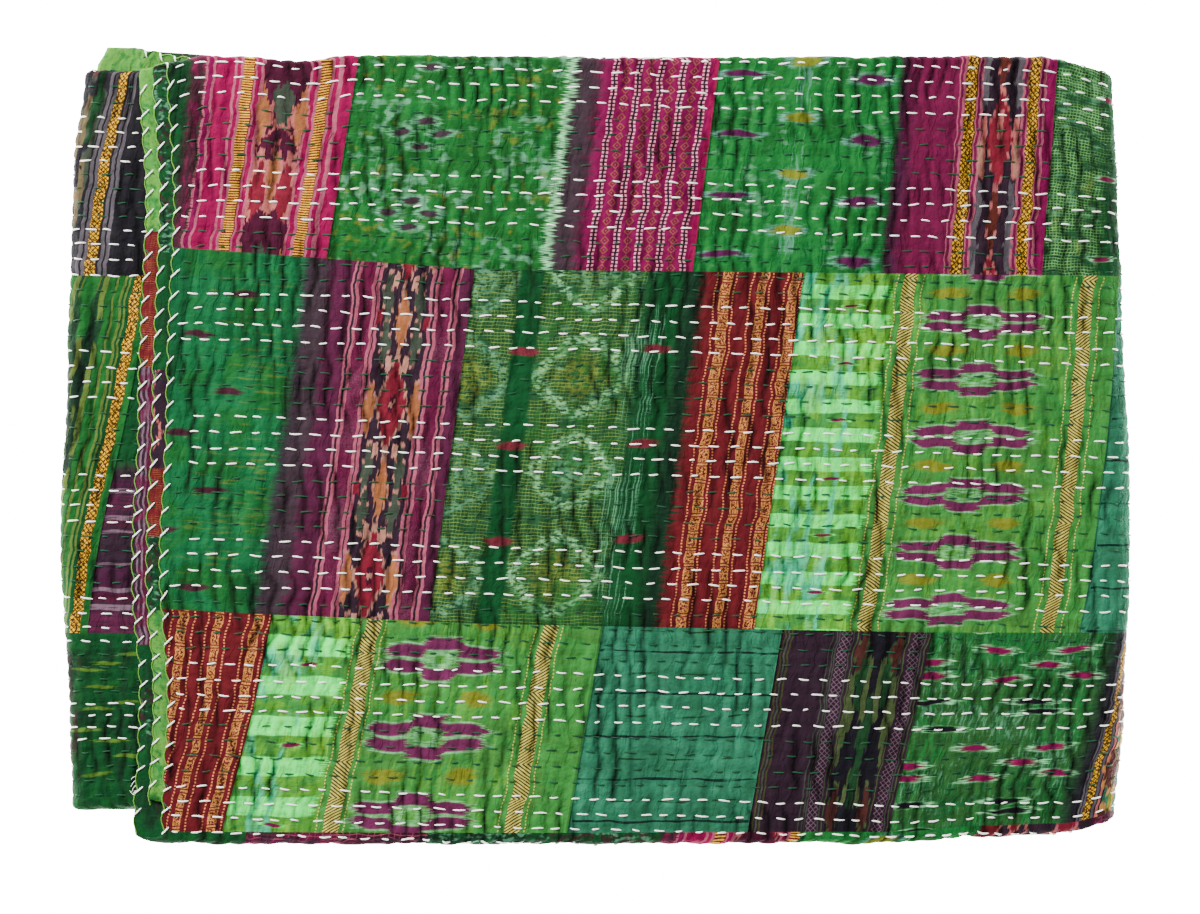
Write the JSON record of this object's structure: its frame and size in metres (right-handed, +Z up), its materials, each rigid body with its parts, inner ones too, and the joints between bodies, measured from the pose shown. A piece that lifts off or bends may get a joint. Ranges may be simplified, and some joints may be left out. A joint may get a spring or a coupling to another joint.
{
  "type": "folded kantha quilt",
  "caption": "Patchwork kantha bed quilt of stitched sari cloth, folded in thirds both ways into a flat pack, for a bed, a sofa or a shelf.",
  "frame": {"origin": "centre of the footprint of the folded quilt, on the surface that it lies on", "axes": "+Z up from that surface; +X towards the rolled fold that shows at the right, along the quilt's length; +Y towards the tight fold at the far side, across its width"},
  "size_m": [0.993, 0.737, 0.041],
  "materials": {
    "patchwork_cloth": "matte",
    "white_thread": "matte",
    "green_thread": "matte"
  },
  "bodies": {
    "root": {"quilt": "patchwork_cloth"}
  },
  "joints": []
}
